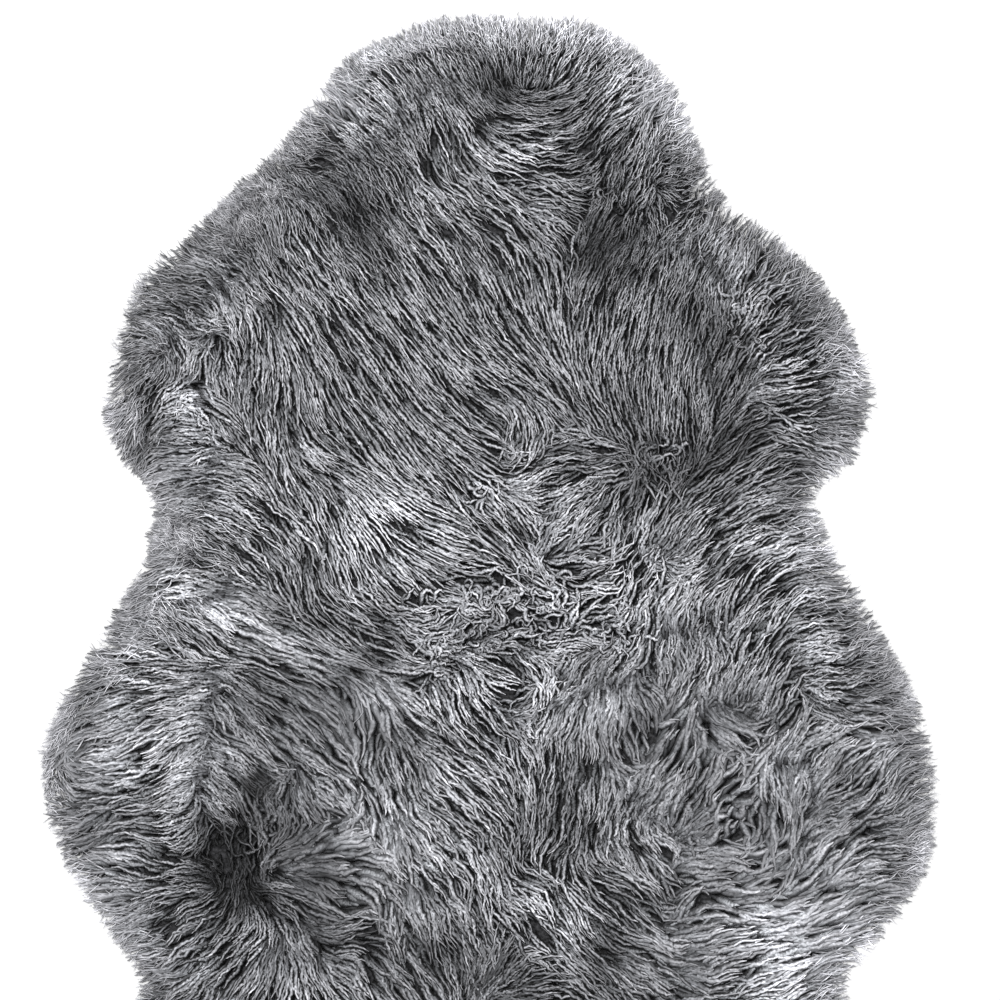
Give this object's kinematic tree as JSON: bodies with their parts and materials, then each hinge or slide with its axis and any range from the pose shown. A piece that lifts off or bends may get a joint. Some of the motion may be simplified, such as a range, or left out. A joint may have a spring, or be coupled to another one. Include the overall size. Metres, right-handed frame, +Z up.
{
  "type": "sheepskin rug",
  "caption": "Whole sheepskin rug with long dyed wool, lying wool side up, with the lobed outline of the natural skin and loose locks round its rim.",
  "frame": {"origin": "on the floor, under the middle of the rug's bounding box", "axes": "+Y towards the neck end, +X to the right as seen from above with the neck up, +Z up out of the wool"},
  "size_m": [0.6814, 0.9368, 0.0526],
  "materials": {
    "wool": "long wavy sheep's wool dyed a cool mid grey, matt, with paler tips and dark roots",
    "hide": "tanned and sueded flesh side of the skin, matt"
  },
  "bodies": {
    "root": {"sheepskin": "wool"}
  },
  "joints": []
}
